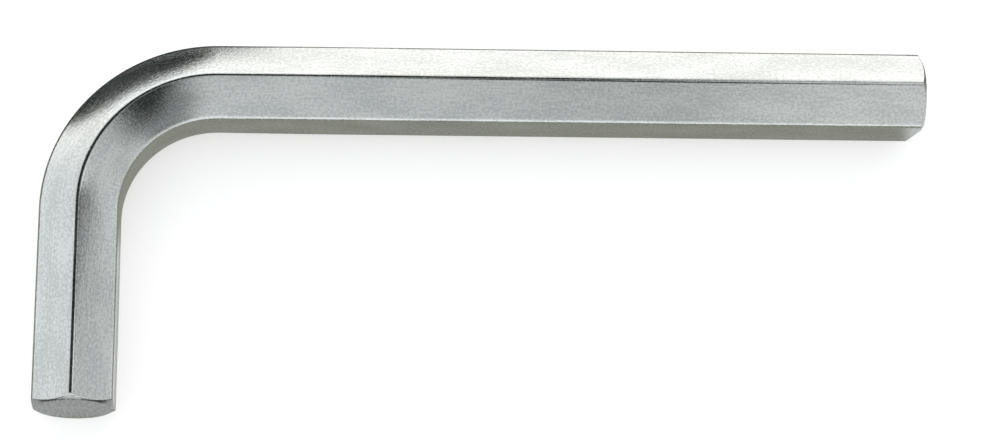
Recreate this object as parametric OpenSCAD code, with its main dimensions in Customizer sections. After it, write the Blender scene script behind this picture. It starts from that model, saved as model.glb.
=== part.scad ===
// Hex key bent to an L from one length of hexagonal bar.
// It lies on a table on one long edge of the bar, as such a key comes to rest,
// with the long arm along +X, the short arm along -Y and the table at z = 0.
// The origin is on the table, below the middle of the outline.

/* [Bar] */
// Width of the bar across two opposite flats
across_flats = 10; // [6:0.5:14]
// How far the narrow land along each edge of the drawn bar lies below a sharp corner
edge_softening = 0.12; // [0.04:0.02:0.24]

/* [Arms] */
// Length of the long arm, from the outside of the short arm to the tip
long_arm = 112; // [80:1:180]
// Length of the short arm, from the outside of the long arm to the tip
short_arm = 47; // [40:1:70]
// Radius of the flat that runs round the inside of the bend
inside_bend_radius = 12; // [6:0.5:20]

/* [Tips] */
// How far in from the flats the flat end face begins
chamfer_inset = 0.25; // [0.1:0.05:0.8]
// Slope of the chamfer round each tip, measured from the end face
chamfer_angle = 30; // [15:5:45]
// Length of the bevel that the cropping left on the long tip's lower inner edge
crop_bevel_length = 1.6; // [1:0.1:3]
// How far in from that edge the bevel reaches over the end face
crop_bevel_reach = 2.8; // [1.5:0.1:4]

/* [Hidden] */
$fn = 96;

// The bar's section: a hexagon with a narrow flat land in place of each sharp corner
sharp_radius = across_flats / 2 / cos(30);
corner_radius = sharp_radius - edge_softening;
land_half_width = edge_softening * tan(60);

// The line through the middle of the bar: two straights joined by a quarter circle
bend_radius = inside_bend_radius + across_flats / 2;
long_straight = long_arm - across_flats / 2 - bend_radius;
short_straight = short_arm - across_flats / 2 - bend_radius;
bend_centre = [
    across_flats / 2 + bend_radius - long_arm / 2,
    short_arm / 2 - across_flats / 2 - bend_radius,
    corner_radius
];

// The cutters reach this far past the bar, so that they leave no skin
overrun = 1;
end_face_radius = across_flats / 2 - chamfer_inset;
// Direction of the lower inner edge in the section, from the outside flat round to the table
crop_edge_direction = 210;

// One end of the land on the edge that lies in a direction, seen along the bar
function land_end(direction, side) =
    corner_radius * [cos(direction), sin(direction)]
    + side * land_half_width * [-sin(direction), cos(direction)];

// Section of the bar, with flats to the left and right and edges above and below
module bar_section() {
    polygon([for (edge = [0:5]) for (side = [-1, 1]) land_end(30 + 60 * edge, side)]);
}

// Straight length of bar that ends at z = 0 with its tip chamfered all round
module tipped_bar(length) {
    difference() {
        translate([0, 0, -length]) linear_extrude(height = length) bar_section();
        chamfer_cutter();
    }
}

// Ring with a conical inside, which trims the corners and just rims the flats
module chamfer_cutter() {
    outer = sharp_radius + overrun;
    rise = tan(chamfer_angle);
    rotate_extrude() polygon([
        [end_face_radius - overrun, overrun * rise],
        [outer, (end_face_radius - outer) * rise],
        [outer, overrun * rise]
    ]);
}

// Wedge that bevels one edge of the bar at the tip
module crop_cutter() {
    slope = crop_bevel_length / crop_bevel_reach;
    rotate([90, 0, crop_edge_direction])
        linear_extrude(height = 2 * across_flats, center = true) polygon([
            [corner_radius - crop_bevel_reach - overrun, overrun * slope],
            [corner_radius + overrun, -crop_bevel_length - overrun * slope],
            [corner_radius + overrun, overrun * slope]
        ]);
}

// Quarter turn of the bar, from the short arm round to the long arm
module bend() {
    rotate([0, 0, 90]) rotate_extrude(angle = 90) translate([bend_radius, 0]) bar_section();
}

// Long arm, which leaves the bend along +X
module long_arm_bar() {
    translate([long_straight, bend_radius, 0]) rotate([90, 0, 90]) difference() {
        tipped_bar(long_straight);
        crop_cutter();
    }
}

// Short arm, which leaves the bend along -Y
module short_arm_bar() {
    translate([-bend_radius, -short_straight, 0]) rotate([90, 0, 0]) tipped_bar(short_straight);
}

module hex_key() {
    color([0.76, 0.77, 0.77]) translate(bend_centre) union() {
        bend();
        long_arm_bar();
        short_arm_bar();
    }
}

hex_key();
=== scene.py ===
# %% [markdown]
# # A hex key, dressed for its photograph
#
# The real thing is one length of hexagonal steel bar, cut off, chamfered at both tips, bent round to an L
# and then plated. There is nothing to assemble, so the work lies in four things: the soft long edges of
# drawn bar, the bend, the trimmed tips, and a satin metal that has something to reflect.
#
# The CAD model gives the size and the place. This script loads it as a fixed frame and builds one
# finer mesh over it.

# %% Load the frame
import math
from itertools import accumulate

import bpy
from mathutils import Matrix, Vector


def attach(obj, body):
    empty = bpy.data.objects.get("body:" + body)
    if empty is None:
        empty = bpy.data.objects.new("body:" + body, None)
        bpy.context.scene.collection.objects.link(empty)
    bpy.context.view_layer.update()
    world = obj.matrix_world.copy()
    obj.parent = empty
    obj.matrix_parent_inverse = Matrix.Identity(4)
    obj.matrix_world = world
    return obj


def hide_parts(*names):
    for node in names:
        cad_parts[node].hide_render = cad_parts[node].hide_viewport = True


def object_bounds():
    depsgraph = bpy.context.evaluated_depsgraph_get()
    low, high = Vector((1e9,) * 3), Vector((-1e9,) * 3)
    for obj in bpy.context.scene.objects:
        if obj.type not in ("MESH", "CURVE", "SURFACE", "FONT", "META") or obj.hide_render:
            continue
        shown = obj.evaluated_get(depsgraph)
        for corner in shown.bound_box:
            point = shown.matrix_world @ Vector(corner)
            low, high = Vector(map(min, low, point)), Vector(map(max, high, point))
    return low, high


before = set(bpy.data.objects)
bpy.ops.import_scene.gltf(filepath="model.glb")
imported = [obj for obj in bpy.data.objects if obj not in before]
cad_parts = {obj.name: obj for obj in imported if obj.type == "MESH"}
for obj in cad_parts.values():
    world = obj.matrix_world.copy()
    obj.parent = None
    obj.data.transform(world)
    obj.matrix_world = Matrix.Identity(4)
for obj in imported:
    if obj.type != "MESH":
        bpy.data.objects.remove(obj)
cad_low, cad_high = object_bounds()
MM = 0.001
print("CAD box in mm:", [round((b - a) / MM, 2) for a, b in zip(cad_low, cad_high)])

# %% [markdown]
# ## Sizes
#
# Nothing here is measured twice. The overall lengths come from the frame's own box, and the width across
# flats follows from the height of the lying bar, because it lies with one edge down and one edge up.
# Only what a box can't tell is written down: how soft the edges are, how tight the bend is, and how the
# tips are trimmed. The chamfer begins 0.1 mm further in than in the CAD model, because its line reads
# wider in the photograph. Lengths are in millimetres until the mesh is made.

# %% Sizes of the bar, the arms and the tips
SIDES = 6
# Half of the angle that one side takes up round the middle of the bar
HALF_SIDE = math.radians(180 / SIDES)
EDGE_SOFTENING = 0.12
INSIDE_BEND_RADIUS = 12.0
CHAMFER_INSET = 0.35
CHAMFER_SLOPE = math.tan(math.radians(30))
CROP_LENGTH = 1.6
CROP_REACH = 2.8
CROP_DIRECTION = math.radians(210)

long_arm, short_arm, height = [(b - a) / MM for a, b in zip(cad_low, cad_high)]
corner_radius = height / 2
apothem = (corner_radius + EDGE_SOFTENING) * math.cos(HALF_SIDE)
bend_radius = INSIDE_BEND_RADIUS + apothem
long_straight = long_arm - apothem - bend_radius
short_straight = short_arm - apothem - bend_radius
bend_length = bend_radius * math.pi / 2
bar_length = short_straight + bend_length + long_straight
bend_x = apothem + bend_radius - long_arm / 2
bend_y = short_arm / 2 - apothem - bend_radius
bend_centre = Vector((bend_x, bend_y, corner_radius))
print(f"across flats {2 * apothem:.2f}, bar {bar_length:.1f} long, bend {bend_radius:.1f} to its middle line")

# %% [markdown]
# ## The section of drawn bar
#
# A hexagon from a circle with six vertices looks like folded card, because its edges are perfectly sharp.
# Drawn bar has edges with a small radius, and on satin metal that radius is what catches a thin dark
# or bright line. So the section is built face by face: each face is a very flat arch, and neighbours
# are joined by a true arc. In the bend the arch grows, because bending makes the flats bulge.

# %% Faces and soft edges of the section
FACE_STEPS = 10
EDGE_STEPS = 8
# A guard point close to each end of a face keeps the arc's shading off the flat
GUARD = 0.985


def line_crossing(p, d, q, e):
    """Where the line through p along d meets the line through q along e."""
    cross = d.x * e.y - d.y * e.x
    t = ((q.x - p.x) * e.y - (q.y - p.y) * e.x) / cross
    return p + d * t


def face_points(direction, arch, half_width):
    """Points across one face, and the slopes at its two ends. The middle stays at the true flat."""
    normal = Vector((math.cos(direction), math.sin(direction)))
    along = Vector((-normal.y, normal.x))
    shares = [-1, -GUARD] + [-1 + 2 * k / FACE_STEPS for k in range(1, FACE_STEPS)] + [GUARD, 1]
    points = [normal * (apothem - arch * q * q) + along * (q * half_width) for q in shares]
    slope = 2 * arch / half_width
    return points, (along + normal * slope).normalized(), (along - normal * slope).normalized()


def edge_points(start, start_slope, end, end_slope):
    """Points strictly between start and end on the arc that leaves and arrives along the two slopes."""
    corner = line_crossing(start, start_slope, end, end_slope)
    weight = math.cos(start_slope.angle(end_slope) / 2)
    made = []
    for k in range(1, EDGE_STEPS):
        t = k / EDGE_STEPS
        a, b, c = (1 - t) ** 2, 2 * t * (1 - t) * weight, t * t
        made.append((start * a + corner * b + end * c) / (a + b + c))
    return made


print("points on a face:", len(face_points(0, 0, 1)[0]), "and on the edge beside it:", EDGE_STEPS - 1)

# %% [markdown]
# The faces are then strung together. Two of them are the flats that face out of the bend and into it, and
# the four between them look up and down. They bulge more, so the section takes two arches.

# %% Outline of the section
def section(face_arch, flat_arch):
    """The closed outline as (outward, up) points, from the outer flat round to its start."""
    edge_radius = EDGE_SOFTENING / (1 / math.cos(HALF_SIDE) - 1)
    half_width = (apothem - edge_radius) * math.tan(HALF_SIDE)
    faces = []
    for k in range(SIDES):
        arch = flat_arch if k % 3 == 0 else face_arch
        faces.append(face_points(math.radians(360 / SIDES * k), arch, half_width))
    outline = []
    for k, (points, _, leaving) in enumerate(faces):
        following, arriving, _ = faces[(k + 1) % SIDES]
        outline += points + edge_points(points[-1], leaving, following[0], arriving)
    return outline


per_ring = len(section(0, 0))
print("points round the bar:", per_ring)

# %% [markdown]
# ## The line through the middle of the bar
#
# The bar is swept along a path: a straight, a quarter circle and a straight. Blender's curve bevel could
# do that, but it keeps one section all the way, while a bent bar's section changes as it goes round.
# So a small function answers, for any distance from the short tip, where the middle is and which way is
# outward, and the rings are placed with it.

# %% Path from the short tip to the long tip
# How far the bulge of the bend fades out into the straights, and how far inside the bend it is full
FADE_OUTSIDE, FADE_INSIDE = 14.0, 3.0


def station(s):
    """Middle of the bar and the outward direction, s millimetres from the short tip."""
    turn = min(max((s - short_straight) / bend_radius, 0), math.pi / 2)
    outward = Vector((-math.cos(turn), math.sin(turn), 0))
    along = Vector((math.sin(turn), math.cos(turn), 0))
    beyond = min(s - short_straight, 0) + max(s - short_straight - bend_length, 0)
    return bend_centre + outward * bend_radius + along * beyond, outward


def smooth(x):
    """0 below 0, 1 above 1, and an S-shaped rise between."""
    x = min(max(x, 0), 1)
    return x * x * (3 - 2 * x)


def bend_share(s):
    """How much of the bending shows at s: all of it inside the bend, fading out in both straights."""
    into_bend = min(s - short_straight, short_straight + bend_length - s)
    return smooth((into_bend + FADE_OUTSIDE) / (FADE_OUTSIDE + FADE_INSIDE))


for s in (5, 15, 25, 35, 60, 80):
    print(f"{s} mm from the short tip the bend shows {bend_share(s):.0%}")

# %% [markdown]
# ## The tips
#
# A tip is a flat face with a shallow cone round it, so the cone only rims the flats and bites deeper into
# the corners: that gives the scalloped line which every hex key has. Cutting it with a Boolean would leave
# thin triangles. Instead the tip is thought of as a height field: over each point of the end there
# is a depth below the tip, the largest of the flat, the cone and the bevel that the cropping left on the
# long tip. A soft maximum rounds the lines where two of them meet.

# %% Depth of the tip's surface
LINE_SOFTNESS = 0.035
end_radius = apothem - CHAMFER_INSET


def soft_max(a, b):
    """The larger of two depths, rounded where they are nearly equal."""
    return (a + b + math.sqrt((a - b) ** 2 + LINE_SOFTNESS**2)) / 2


def tip_depth(point, cropped):
    """Depth below the tip of the end surface over a point of the section."""
    depth = soft_max(0, (point.length - end_radius) * CHAMFER_SLOPE)
    if cropped:
        crop_axis = Vector((math.cos(CROP_DIRECTION), math.sin(CROP_DIRECTION)))
        into_crop = point.dot(crop_axis) - (corner_radius - CROP_REACH)
        depth = soft_max(depth, into_crop * CROP_LENGTH / CROP_REACH)
    return depth


edge_bite = tip_depth(Vector((0, corner_radius)), cropped=False)
flat_bite = tip_depth(Vector((apothem, 0)), cropped=False)
print(f"the chamfer reaches {edge_bite:.2f} mm down the edges and {flat_bite:.2f} mm down the flats")

# %% [markdown]
# ## One mesh
#
# Rings of points run from tip to tip, close together where the surface turns and wide apart where it is
# straight. A subdivided cage could give the same look with less code, but it would pull the edges away
# from their true radius, and the CAD box would no longer be met.

# %% Where the rings stand
STRAIGHT_STEP = 2.5
BEND_RINGS = 84
# Room that the rings of the cropped tip need behind its bevel
CROP_ROOM = 0.4
# How far a face falls away at its sides: in the straights, and what the bend adds to it
STRAIGHT_ARCH = 0.012
BEND_FACE_ARCH = 0.11
BEND_FLAT_ARCH = 0.04


def ring_places():
    """Distances from the short tip of the rings between the two tips."""
    first, last = short_straight, short_straight + bend_length
    start, stop = CROP_LENGTH, bar_length - CROP_LENGTH - CROP_ROOM
    before = math.ceil((first - start) / STRAIGHT_STEP)
    after = math.ceil((stop - last) / STRAIGHT_STEP)
    places = [start + (first - start) * k / before for k in range(before)]
    places += [first + bend_length * k / BEND_RINGS for k in range(BEND_RINGS)]
    return places + [last + (stop - last) * k / after for k in range(after + 1)]


def section_at(s):
    """The bar's outline s millimetres from the short tip."""
    share = bend_share(s)
    return section(STRAIGHT_ARCH + BEND_FACE_ARCH * share, STRAIGHT_ARCH + BEND_FLAT_ARCH * share)


print("rings between the tips:", len(ring_places()))

# %% [markdown]
# Each ring is joined to the last one by quads. Every point also remembers two things for the finish: how
# near it is to a long edge, and whether it is on a tip. Every corner of a face gets a UV place: along the
# bar and round it on the walls, so that the drawing lines follow the bend, and flat on the end faces. The
# end faces lie far away from the walls on the UV map, so the two finishes never share a place.

# %% A mesh that grows ring by ring
# A point counts as near a long edge from this radius outwards
EDGE_ZONE = apothem * 1.045
END_UV_SHIFT = 200


class BarMesh:
    """Collects points, faces, UV corners and finish values for one mesh."""

    def __init__(self):
        self.points, self.faces, self.corners, self.edge, self.tip = [], [], [], [], []
        self.first = self.last = None

    def add_point(self, s, point, edge, tip):
        middle, outward = station(s)
        self.points.append((middle + outward * point.x + Vector((0, 0, point.y))) * MM)
        self.edge.append(edge)
        self.tip.append(tip)
        return len(self.points) - 1

    def add_ring(self, places, outline, tip=0.0):
        """One ring; places gives each point's own distance from the short tip."""
        around = list(range(per_ring)) + [0]
        steps = [(outline[b] - outline[a]).length for a, b in zip(around, around[1:])]
        ring = {"tip": tip, "points": []}
        for s, point in zip(places, outline):
            nearness = smooth((point.length - EDGE_ZONE) / (corner_radius - EDGE_ZONE))
            ring["points"].append(self.add_point(s, point, nearness, tip))
        ring["points"].append(ring["points"][0])
        ring["wall"] = [(places[a], way) for a, way in zip(around, accumulate(steps, initial=0.0))]
        ring["end"] = [(outline[a].x, outline[a].y + END_UV_SHIFT) for a in around]
        if self.last:
            kind = "end" if tip and self.last["tip"] else "wall"
            for k in range(per_ring):
                corners = ((self.last, k), (self.last, k + 1), (ring, k + 1), (ring, k))
                self.faces.append([r["points"][i] for r, i in corners])
                self.corners += [r[kind][i] for r, i in corners]
        self.first = self.first or ring
        self.last = ring

    def close(self, s, ring, flipped):
        """Fan from a ring to a point in the middle of the tip."""
        hub = self.add_point(s, Vector((0, 0)), edge=0.0, tip=1.0)
        for k in range(per_ring):
            a, b = (k + 1, k) if flipped else (k, k + 1)
            self.faces.append([hub, ring["points"][a], ring["points"][b]])
            self.corners += [(0, END_UV_SHIFT), ring["end"][a], ring["end"][b]]


print(f"long edges begin {EDGE_ZONE:.2f} mm from the bar's middle and end at {corner_radius:.2f} mm")

# %% [markdown]
# ## Rims and end faces
#
# On the real key the rim between wall and chamfer isn't sharp either: the plating and the tumbling before
# it leave a small round. Here it's a short curve that leaves along the wall and arrives along the chamfer.
# From there the rings close in over the chamfer, crowd at the line where it meets the flat end face, and
# grow sparse towards the middle. The chamfer counts as only partly on the tip, so it keeps more shine.

# %% Rings over the two tips
RIM = 0.07
RIM_STEPS = 4
CHAMFER_SHARE = 0.3
# Rings on the wall behind the rim, then over the chamfer, its inner line and the end face
WALL_GUARDS = (0.30, 0.04)
CHAMFER_STOPS = (0.08, 0.4, 0.7, 1.0)
LINE_GUARD = 0.08
LINE_OFFSETS = (0.04, 0.0, -0.04, -0.09, -0.18)
FACE_STOPS = (0.9, 0.82, 0.74, 0.66, 0.58, 0.5, 0.42, 0.34, 0.22, 0.1)


def tip_rings(outline, cropped):
    """Rings of one tip as (depths, points, on the end), from the wall inwards over the end face."""

    def inset(amount):
        return [p * (1 - amount / p.length) for p in outline]

    def over(points, on_end=1.0):
        return [tip_depth(p, cropped) for p in points], points, on_end

    corner, inner = over(outline)[0], inset(RIM)
    rings = [([depth + RIM + guard for depth in corner], outline, 0.0) for guard in WALL_GUARDS]
    for k in range(RIM_STEPS + 1):
        t = k / RIM_STEPS
        wall, middle, end = (1 - t) ** 2, 2 * t * (1 - t), t * t
        depths = []
        for at_corner, at_inner in zip(corner, over(inner)[0]):
            depths.append(wall * (at_corner + RIM) + middle * at_corner + end * at_inner)
        rings.append((depths, inset(RIM * t * t), CHAMFER_SHARE * t))
    for share in CHAMFER_STOPS:
        points = [p.lerp(p.normalized() * (end_radius + LINE_GUARD), share) for p in inner]
        rings.append(over(points, CHAMFER_SHARE))
    for radius in [end_radius + offset for offset in LINE_OFFSETS] + [end_radius * k for k in FACE_STOPS]:
        rings.append(over([p.normalized() * radius for p in outline]))
    return rings


print("rings over each tip:", len(tip_rings(section_at(0), cropped=False)))

# %% [markdown]
# ## Sweeping the bar
#
# The short tip's rings come in reverse, from the end face outwards to the wall, then the rings of the
# bar, then the long tip's rings inwards. A fan of triangles closes each end face in its middle.

# %% From one tip to the other
bar = BarMesh()
for depths, points, on_end in reversed(tip_rings(section_at(0), cropped=False)):
    bar.add_ring(depths, points, on_end)
for s in ring_places():
    bar.add_ring([s] * per_ring, section_at(s))
for depths, points, on_end in tip_rings(section_at(bar_length), cropped=True):
    bar.add_ring([bar_length - depth for depth in depths], points, on_end)
bar.close(tip_depth(Vector((0, 0)), cropped=False), bar.first, flipped=True)
bar.close(bar_length - tip_depth(Vector((0, 0)), cropped=True), bar.last, flipped=False)
print(len(bar.points), "points,", len(bar.faces), "faces")

# %% [markdown]
# The lists become a Blender mesh in one go. In a closed mesh each edge belongs to two faces, so half the
# number of all face sides has to be the number of edges, and that is printed as a check.

# %% Mesh object with its UV map and finish values
mesh = bpy.data.meshes.new("hex_key_bar")
mesh.from_pydata(bar.points, [], bar.faces)
uv_values = [part for corner in bar.corners for part in corner]
mesh.uv_layers.new(name="along_and_round").data.foreach_set("uv", uv_values)
for name, values in (("edge_nearness", bar.edge), ("on_tip", bar.tip)):
    mesh.attributes.new(name, "FLOAT", "POINT").data.foreach_set("value", values)
mesh.polygons.foreach_set("use_smooth", [True] * len(mesh.polygons))
mesh.update()
hex_key = bpy.data.objects.new("hex_key_plated", mesh)
bpy.context.scene.collection.objects.link(hex_key)
sides = sum(len(face) for face in bar.faces)
print("closed:", sides == 2 * len(mesh.edges), "with", sides - 2 * len(bar.faces), "triangles")

# %% [markdown]
# ## Writing shader maths as Python
#
# A material is a graph of nodes, and wiring one by hand hides what it computes. The class below wraps one
# output socket and gives it +, - and *, with a number on either side, so that a line such as
# `0.2 + 0.1 * grain` reads as what it does and adds the Math nodes by itself.

# %% A socket that does sums
class Wire:
    """One output of a node. Sums on wires add Math nodes to the same graph."""

    def __init__(self, graph, socket):
        self.graph, self.socket = graph, socket

    def __add__(self, other):
        return self.graph.math("ADD", self, other)

    def __sub__(self, other):
        return self.graph.math("SUBTRACT", self, other)

    def __rsub__(self, other):
        return self.graph.math("SUBTRACT", other, self)

    def __mul__(self, other):
        return self.graph.math("MULTIPLY", self, other)

    __radd__ = __add__
    __rmul__ = __mul__


sums = [name.strip("_") for name, made in vars(Wire).items() if callable(made) and name != "__init__"]
print("sums on a wire:", sums)

# %% [markdown]
# The second class holds the nodes of one material, or of the world. Every node comes from its method
# `node`, which sets the node's settings first and then its inputs, from plain values or from wires. Three
# short methods use it for what is needed again and again: sums that have no sign of their own, soft steps
# and mixed colours. A small trial shows what one line of maths adds.

# %% The nodes of one material
# A Mix node has sockets for each kind of data. These are the numbers of those for colours
MIX_SHARE, MIX_FIRST, MIX_SECOND, MIX_RESULT = 0, 6, 7, 2


class Graph:
    """The nodes of one material or of the world, empty at first."""

    def __init__(self, owner):
        owner.use_nodes = True
        self.tree = owner.node_tree
        self.tree.nodes.clear()

    def node(self, kind, settings=None, inputs=None, output=0):
        """Adds a node, sets its settings, then its inputs from values or wires.

        Gives the output that is named or numbered, or a list of them where output is a tuple.
        """
        made = self.tree.nodes.new(kind)
        for name, value in (settings or {}).items():
            setattr(made, name, value)
        for name, value in (inputs or {}).items():
            if isinstance(value, Wire):
                self.tree.links.new(value.socket, made.inputs[name])
            else:
                made.inputs[name].default_value = value
        if isinstance(output, tuple):
            return [Wire(self, made.outputs[name]) for name in output]
        return Wire(self, made.outputs[output]) if len(made.outputs) else None

    def math(self, operation, *values):
        """A sum by its name, for one value or two."""
        return self.node("ShaderNodeMath", {"operation": operation}, dict(enumerate(values)))

    def ramp(self, value, low, high):
        """An S-shaped change from 0 to 1 as the value goes from low to high."""
        span = {"Value": value, "From Min": low, "From Max": high}
        return self.node("ShaderNodeMapRange", {"interpolation_type": "SMOOTHSTEP"}, span)

    def mix(self, share, first, second):
        """The first colour where share is 0, the second where it is 1."""
        colours = {MIX_SHARE: share, MIX_FIRST: first, MIX_SECOND: second}
        return self.node("ShaderNodeMix", {"data_type": "RGBA"}, colours, MIX_RESULT)


trial = bpy.data.materials.new("trial")
line = 1 - 0.5 * Graph(trial).node("ShaderNodeValue")
print("1 - 0.5 * value makes the nodes", [made.name for made in line.graph.tree.nodes])
bpy.data.materials.remove(trial)

# %% [markdown]
# ## Satin plate over drawn bar
#
# Plating is thin: it follows every line that drawing left along the bar, and softens them. From a step
# away that reads as satin with a fine speckle, so most of it belongs in the tone and the roughness, and
# only a trace in the bump. A scratched-metal image could do this too, but noise in the UV map's
# millimetres follows the bend by itself and has no seam to hide.
#
# Four noises are laid over the bar: its drawing lines, the satin speckle, a slow cloudy bloom, and on the
# end faces the lines of the grinding.

# %% Grain of the plate
# Share of the drawing lines in the grain, and how strongly the grinding shows
DRAWN_SHARE = 0.30
GROUND_CONTRAST = 1.6


def noise(place, across, along, detail, roughness=0.5):
    """Noise with so many lumps per millimetre across the bar and along it."""
    stretch = {0: place, 1: (along, across, 1)}
    stretched = place.graph.node("ShaderNodeVectorMath", {"operation": "MULTIPLY"}, stretch)
    inputs = {"Vector": stretched, "Scale": 1.0, "Detail": detail, "Roughness": roughness}
    return place.graph.node("ShaderNodeTexNoise", {"noise_dimensions": "2D"}, inputs)


def plate_grain(graph, tip):
    """The plate's fine grain, ground where tip is 1, and its bloom, each about 0.5 on average."""
    place = graph.node("ShaderNodeUVMap", {"uv_map": "along_and_round"})
    drawn_lines = noise(place, across=7.0, along=0.25, detail=2.0)
    satin = noise(place, across=3.2, along=2.4, detail=2.0, roughness=0.7)
    bloom = noise(place, across=0.35, along=0.12, detail=3.0)
    ground_lines = noise(place, across=0.7, along=3.0, detail=2.0, roughness=0.6)
    grain = DRAWN_SHARE * drawn_lines + (1 - DRAWN_SHARE) * satin
    grain = grain + tip * (0.5 + GROUND_CONTRAST * (ground_lines - 0.5) - grain)
    return grain, bloom


print(f"the grain is {DRAWN_SHARE:.0%} drawing lines and {1 - DRAWN_SHARE:.0%} speckle")

# %% [markdown]
# The grain then sets the tone, the roughness and a faint relief. The long edges are rubbed a little
# smoother than the flats, and the end faces, which were cropped and ground before plating, are rougher.
# It stays bare metal all over: a clear coat on top would make it look lacquered.

# %% Plated steel
PLATE_TONE = (0.815, 0.845, 0.840, 1)
PLATE_SHADE = (0.61, 0.645, 0.64, 1)
BLOOM_SHARE = 0.25
TONE_LOW, TONE_HIGH = 0.40, 0.60
ROUGHNESS = 0.18
ROUGH_WITH_GRAIN, ROUGH_WITH_BLOOM = 0.14, 0.08
EDGE_SMOOTHER, TIP_ROUGHER = 0.03, 0.16
RELIEF_DEPTH = 0.03 * MM
RELIEF_STRENGTH = 0.45


def plated_steel():
    """Nickel-like plate whose finish follows the bar's own UV map."""
    material = bpy.data.materials.new("plated_steel")
    graph = Graph(material)
    edge = graph.node("ShaderNodeAttribute", {"attribute_name": "edge_nearness"}, output="Fac")
    tip = graph.node("ShaderNodeAttribute", {"attribute_name": "on_tip"}, output="Fac")
    grain, bloom = plate_grain(graph, tip)
    tone = graph.ramp(BLOOM_SHARE * bloom + (1 - BLOOM_SHARE) * grain, TONE_LOW, TONE_HIGH)
    roughness = ROUGHNESS + ROUGH_WITH_GRAIN * (grain - 0.5) + ROUGH_WITH_BLOOM * (bloom - 0.5)
    relief = {"Height": grain, "Strength": RELIEF_STRENGTH, "Distance": RELIEF_DEPTH}
    surface = {
        "Base Color": graph.mix(tone, PLATE_SHADE, PLATE_TONE),
        "Roughness": roughness - EDGE_SMOOTHER * edge + TIP_ROUGHER * tip,
        "Metallic": 1.0,
        "Normal": graph.node("ShaderNodeBump", {}, relief),
    }
    shader = graph.node("ShaderNodeBsdfPrincipled", {}, surface)
    graph.node("ShaderNodeOutputMaterial", {}, {"Surface": shader})
    return material


hex_key.data.materials.append(plated_steel())
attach(hex_key, "root")
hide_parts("hex_key")
print("material nodes:", len(hex_key.data.materials[0].node_tree.nodes))

# %% [markdown]
# ## White floor
#
# The key lies on a white table. Left to its colour alone it would come out grey, because the tent above it
# is dim. A small glow lifts it to plain white for the camera and for whatever mirrors it. The glow lights
# no matt surface, and the soft shadow stays. The table, like the cards later on, is a sheet with four
# corners, so one helper makes them all.

# %% A flat sheet
# The corners of a sheet, counted the way round that makes it face up
SHEET_CORNERS = ((0, 0), (1, 0), (1, 1), (0, 1))


def rectangle(wide, high):
    """The four corners of a rectangle about its middle."""
    return [((u - 0.5) * wide, (v - 0.5) * high) for u, v in SHEET_CORNERS]


def flat_sheet(name, corners):
    """A four-cornered sheet with a UV map that runs from 0 to 1 both ways."""
    mesh = bpy.data.meshes.new(name)
    mesh.from_pydata(corners, [], [(0, 1, 2, 3)])
    uv_map = mesh.uv_layers.new(name="sheet")
    for corner, uv in enumerate(SHEET_CORNERS):
        uv_map.data[corner].uv = uv
    sheet = bpy.data.objects.new(name, mesh)
    bpy.context.scene.collection.objects.link(sheet)
    return sheet


print("corners of a sheet, 4 wide and 2 high:", rectangle(4, 2))

# %% [markdown]
# The glow is switched by the kind of ray that meets the table: it counts for the camera's rays, for rays
# that a shiny surface sent on, and for rays that came through glass.

# %% Floor
# Width of the floor in metres, and how white, how matt and how strongly glowing it is
FLOOR_SIZE = 6.0
FLOOR_WHITE = (0.93, 0.93, 0.93, 1)
FLOOR_ROUGHNESS = 0.9
FLOOR_GLOW = 0.48
WHITE_PAINT = (1, 1, 1, 1)


def white_floor():
    """The table, which glows a little for the camera and for mirrors alone."""
    floor = flat_sheet("floor", [(x, y, 0) for x, y in rectangle(FLOOR_SIZE, FLOOR_SIZE)])
    material = bpy.data.materials.new("white_sweep")
    graph = Graph(material)
    rays = tuple(f"Is {kind} Ray" for kind in ("Camera", "Glossy", "Transmission"))
    camera, mirror, glass = graph.node("ShaderNodeLightPath", output=rays)
    surface = {
        "Base Color": FLOOR_WHITE,
        "Roughness": FLOOR_ROUGHNESS,
        "Emission Color": WHITE_PAINT,
        "Emission Strength": FLOOR_GLOW * (camera + mirror + glass),
    }
    shader = graph.node("ShaderNodeBsdfPrincipled", {}, surface)
    graph.node("ShaderNodeOutputMaterial", {}, {"Surface": shader})
    floor.data.materials.append(material)
    return floor


print("floor:", white_floor().name, FLOOR_SIZE, "m wide")

# %% [markdown]
# ## Light tent
#
# Metal has hardly any colour of its own: what shows on it is the room. Small shiny things are therefore
# photographed in a light tent, white cloth all round. Lamps with soft shadows could stand in for it, but a
# polished face mirrors a lamp as a hard square. So the world itself is the cloth: its brightness changes
# slowly with direction, brighter behind and in front, dimmer overhead and to the sides. One opening, to
# the right in front and halfway up, is darker, and the upper inner face of the bend mirrors it.

# %% Brightness of the cloth
# Level with the key, and its change towards the back, the top, either side and the right
CLOTH = 1.03
BRIGHTER_BEHIND, DIMMER_ABOVE, DIMMER_ASIDE, DIMMER_RIGHT = 0.13, 0.39, 0.17, 0.09
# How much the back and the front sweep add, and between which parts of the way there they set in
BACK_SWEEP, BACK_FROM, BACK_FULL = 0.22, 0.45, 0.78
FRONT_SWEEP, FRONT_FROM, FRONT_FULL = 0.20, -0.75, -0.98
# Where the opening is, in degrees of compass and height, how wide, and how much light it takes away
DOOR_AZIMUTH, DOOR_ELEVATION = 138, 46
DOOR_RIM, DOOR_CORE = math.radians(26), math.radians(9)
DOOR_DARKENING = 0.60
COOL_CLOTH, WARM_CLOTH = (0.98, 1, 1, 1), (1.03, 1.0, 0.965, 1)


def compass(azimuth, elevation):
    """Unit vector to a point of the tent. Azimuth 0 is +Y, 90 is +X."""
    a, e = math.radians(azimuth), math.radians(elevation)
    return math.sin(a) * math.cos(e), math.cos(a) * math.cos(e), math.sin(e)


print("the opening lies towards", [round(part, 2) for part in compass(DOOR_AZIMUTH, DOOR_ELEVATION)])

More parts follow.
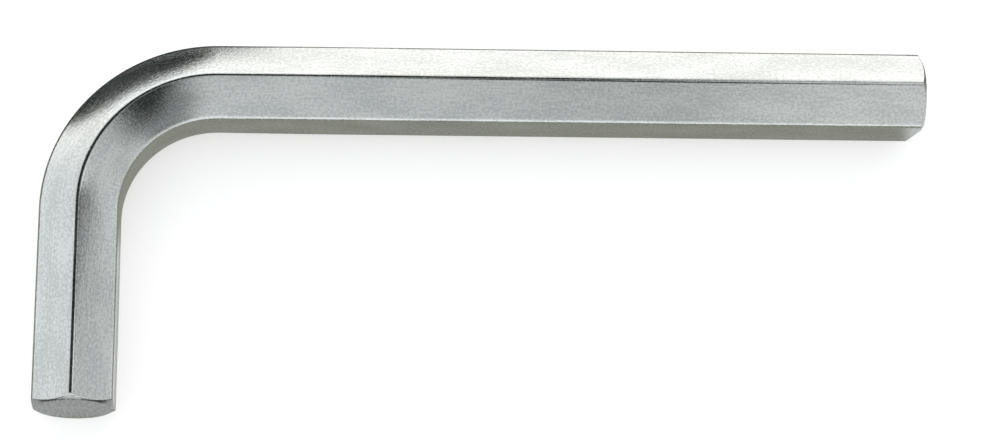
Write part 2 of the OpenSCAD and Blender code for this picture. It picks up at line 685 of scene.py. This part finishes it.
# %% [markdown]
# In the world's graph the direction of a ray comes as x, y and z, each from -1 to 1, so the brightness is
# plain arithmetic on the three. A dot product says how close a ray points to the opening.

# %% The tent as the world
def light_tent():
    """The world as white cloth that changes slowly with direction."""
    world = bpy.data.worlds.new("light_tent")
    bpy.context.scene.world = world
    graph = Graph(world)
    direction = graph.node("ShaderNodeTexCoord")
    x, y, z = graph.node("ShaderNodeSeparateXYZ", {}, {0: direction}, output=(0, 1, 2))
    above = graph.math("MAXIMUM", z, 0.0)
    cloth = CLOTH + BRIGHTER_BEHIND * y - DIMMER_ABOVE * above - DIMMER_ASIDE * x * x - DIMMER_RIGHT * x
    back, front = graph.ramp(y, BACK_FROM, BACK_FULL), graph.ramp(y, FRONT_FROM, FRONT_FULL)
    cloth = cloth + BACK_SWEEP * back + FRONT_SWEEP * front
    pair = {0: direction, 1: compass(DOOR_AZIMUTH, DOOR_ELEVATION)}
    towards_door = graph.node("ShaderNodeVectorMath", {"operation": "DOT_PRODUCT"}, pair, output=1)
    door = graph.ramp(towards_door, math.cos(DOOR_RIM), math.cos(DOOR_CORE))
    cloth = cloth * (1 - DOOR_DARKENING * door)
    tint = graph.mix(back, COOL_CLOTH, WARM_CLOTH)
    background = graph.node("ShaderNodeBackground", {}, {"Color": tint, "Strength": cloth})
    graph.node("ShaderNodeOutputWorld", {}, {"Surface": background})
    return graph


print("tent nodes:", len(light_tent().tree.nodes))

# %% [markdown]
# ## Flags and cards
#
# In an all-white tent a bright metal bar would vanish into its background. The cure is to hang black
# sheets, called flags, and grey and white cards just out of the picture, so that each edge and face of
# the bar mirrors one. Painting the dark lines on the key would be quicker, but they would stay put when
# the key is seen from elsewhere. A card's rim fades, as one that hangs out of focus does: its paint is
# solid in the middle and lets through what lies behind it towards the rim.

# %% Paint with a fading rim
BLACK_PAINT, GREY_PAINT = (0.7, 1.0, 0.8, 1), (1.0, 1.0, 0.87, 1)


def card_paint(name, level, fade, oval, paint):
    """Paint of one card, which shines with its own level of brightness whatever the light on it."""
    material = bpy.data.materials.new(name)
    graph = Graph(material)
    place = graph.node("ShaderNodeUVMap", {"uv_map": "sheet"})
    across, up = graph.node("ShaderNodeSeparateXYZ", {}, {0: place}, output=(0, 1))
    across, up = across - 0.5, up - 0.5

    def solid_within(off_centre):
        return graph.ramp(0.5 - off_centre, 0.0, fade / 2)

    if oval:
        solid = solid_within(graph.math("SQRT", across * across + up * up))
    else:
        solid = solid_within(graph.math("ABSOLUTE", across)) * solid_within(graph.math("ABSOLUTE", up))
    clear = graph.node("ShaderNodeBsdfTransparent")
    painted = graph.node("ShaderNodeEmission", {}, {"Color": paint, "Strength": level})
    surface = graph.node("ShaderNodeMixShader", {}, {0: solid, 1: clear, 2: painted})
    graph.node("ShaderNodeOutputMaterial", {}, {"Surface": surface})
    return material


print("black paint leans to green:", BLACK_PAINT, "and grey paint to yellow:", GREY_PAINT)

# %% [markdown]
# Only mirror-like rays can see a card. It throws no shadow, lights nothing that is matt, and the camera
# looks straight through it, so it may hang in the middle of the view.

# %% A card that only mirrors see
# A card below this height lies on the table
TABLE_LAYER = 1.0


def card(name, centre, size, level, fade, look_at=None, oval=False, spin=0.0, paint=WHITE_PAINT):
    """A sheet at centre, in millimetres. Level is its brightness, fade the soft share of its rim.

    It faces the point look_at. Without one it faces straight down, or up if it lies on the table.
    """
    centre = Vector(centre)
    up_or_down = Vector((0, 0, -1 if centre.z > TABLE_LAYER else 1))
    facing = Vector(look_at) - centre if look_at else up_or_down
    turned = facing.to_track_quat("Z", "Y").to_matrix() @ Matrix.Rotation(math.radians(spin), 3, "Z")
    corners = [(centre + turned @ Vector((u, v, 0))) * MM for u, v in rectangle(*size)]
    sheet = flat_sheet(name, corners)
    for kind in ("camera", "diffuse", "transmission", "volume_scatter", "shadow"):
        setattr(sheet, f"visible_{kind}", False)
    sheet.data.materials.append(card_paint(name, level, fade, oval, paint))


# The two places on the key that hanging cards are turned towards
ELBOW = (-45, 10, 5)
LONG_TIP = (60, 16, 5)
print("cards are turned towards the elbow at", ELBOW, "or the long tip at", LONG_TIP)

# %% [markdown]
# The places below were found by following a ray from the camera to a spot on the key and on from there,
# to see what that spot mirrors. The cards on the table tone the flats that stand upright and the two tips,
# which mirror what lies before them. Where two of those overlap, the upper one lies a hair higher, so that
# they don't share a plane.

# %% Flags and cards round the key
# The black line on the short arm's top edge, and the grey patch beside it
card("flag_overhead", (-78, 101, 300), (326, 225), 0.02, 0.28, paint=BLACK_PAINT)
card("flag_overhead_right", (258, 168, 300), (240, 190), 0.22, 0.35, spin=-43)
card("flag_overhead_gap", (160, 130, 299), (180, 56), 0.02, 0.30, paint=BLACK_PAINT)
# The dark outer band of the bend, and the dark spot on its inner half
card("flag_low_behind", (-144, 241, 5), (250, 218), 0.010, 0.20, ELBOW, oval=True, paint=BLACK_PAINT)
card("flag_high_right", (46, -64, 234), (112, 205), 0.015, 0.42, ELBOW, oval=True, paint=BLACK_PAINT)
# The bright faces between them
card("card_white_overhead", (170, 74, 298), (150, 42), 1.35, 0.50)
card("card_white_right", (78, -35, 68), (100, 70), 0.70, 0.60, LONG_TIP)
card("card_white_behind", (-99, 212, 112), (190, 68), 1.55, 0.35, ELBOW)
# On the table
card("card_on_table", (0, 60, 0.03), (900, 240), 0.31, 0.01, paint=GREY_PAINT)
card("card_behind_bend", (-110, 105, 0.06), (180, 180), 0.04, 0.20, paint=BLACK_PAINT)
card("card_before_tip", (-50, -27.5, 0.06), (60, 6.5), 0.42, 0.05)
card("flag_before_tip", (-50, -46, 0.09), (70, 28), 0.03, 0.05, paint=BLACK_PAINT)
card("flag_beyond_long_tip", (85, 54.2, 0.06), (60, 60), 0.02, 0.06, paint=BLACK_PAINT)
card("card_beyond_long_tip", (76, 16.2, 0.09), (44, 13.4), 0.70, 0.12)
card("card_strip", (-42, -12, 0.12), (8, 30), 0.85, 0.40)

# %% [markdown]
# ## Camera
#
# The photograph looks down on the lying key from the side of its short arm, with a long lens. The eye and
# the point that it aims at are written in millimetres. The image's upright is the world's +Y, so that
# the long arm lies level, with a small twist left over.

# %% Camera at the photograph's place
EYE = Vector((-20.9, -114.8, 365.1))
AIM = Vector((1.6, 1.3, 5.65))
TWIST = math.radians(-0.53)
LENS, SENSOR = 108, 36
# Nearest and farthest distance that the camera sees, in metres
NEAR, FAR = 0.01, 20


def photo_camera():
    """The photograph's camera, made the scene's own."""
    data = bpy.data.cameras.new("camera")
    data.lens, data.sensor_width = LENS, SENSOR
    data.clip_start, data.clip_end = NEAR, FAR
    camera = bpy.data.objects.new("camera", data)
    bpy.context.scene.collection.objects.link(camera)
    look = (AIM - EYE).normalized()
    right = look.cross(Vector((0, 1, 0))).normalized()
    upright = right.cross(look)
    turned = Matrix((right, upright, -look)).transposed() @ Matrix.Rotation(TWIST, 3, "Z")
    camera.matrix_world = Matrix.Translation(EYE * MM) @ turned.to_4x4()
    bpy.context.scene.camera = camera


photo_camera()
bpy.context.scene.view_settings.view_transform = "Standard"
print(f"camera {(AIM - EYE).length:.0f} mm from its aim, {LENS} mm lens")

# %% [markdown]
# ## The CAD box
#
# The finer mesh has to stay inside the box of the CAD model.
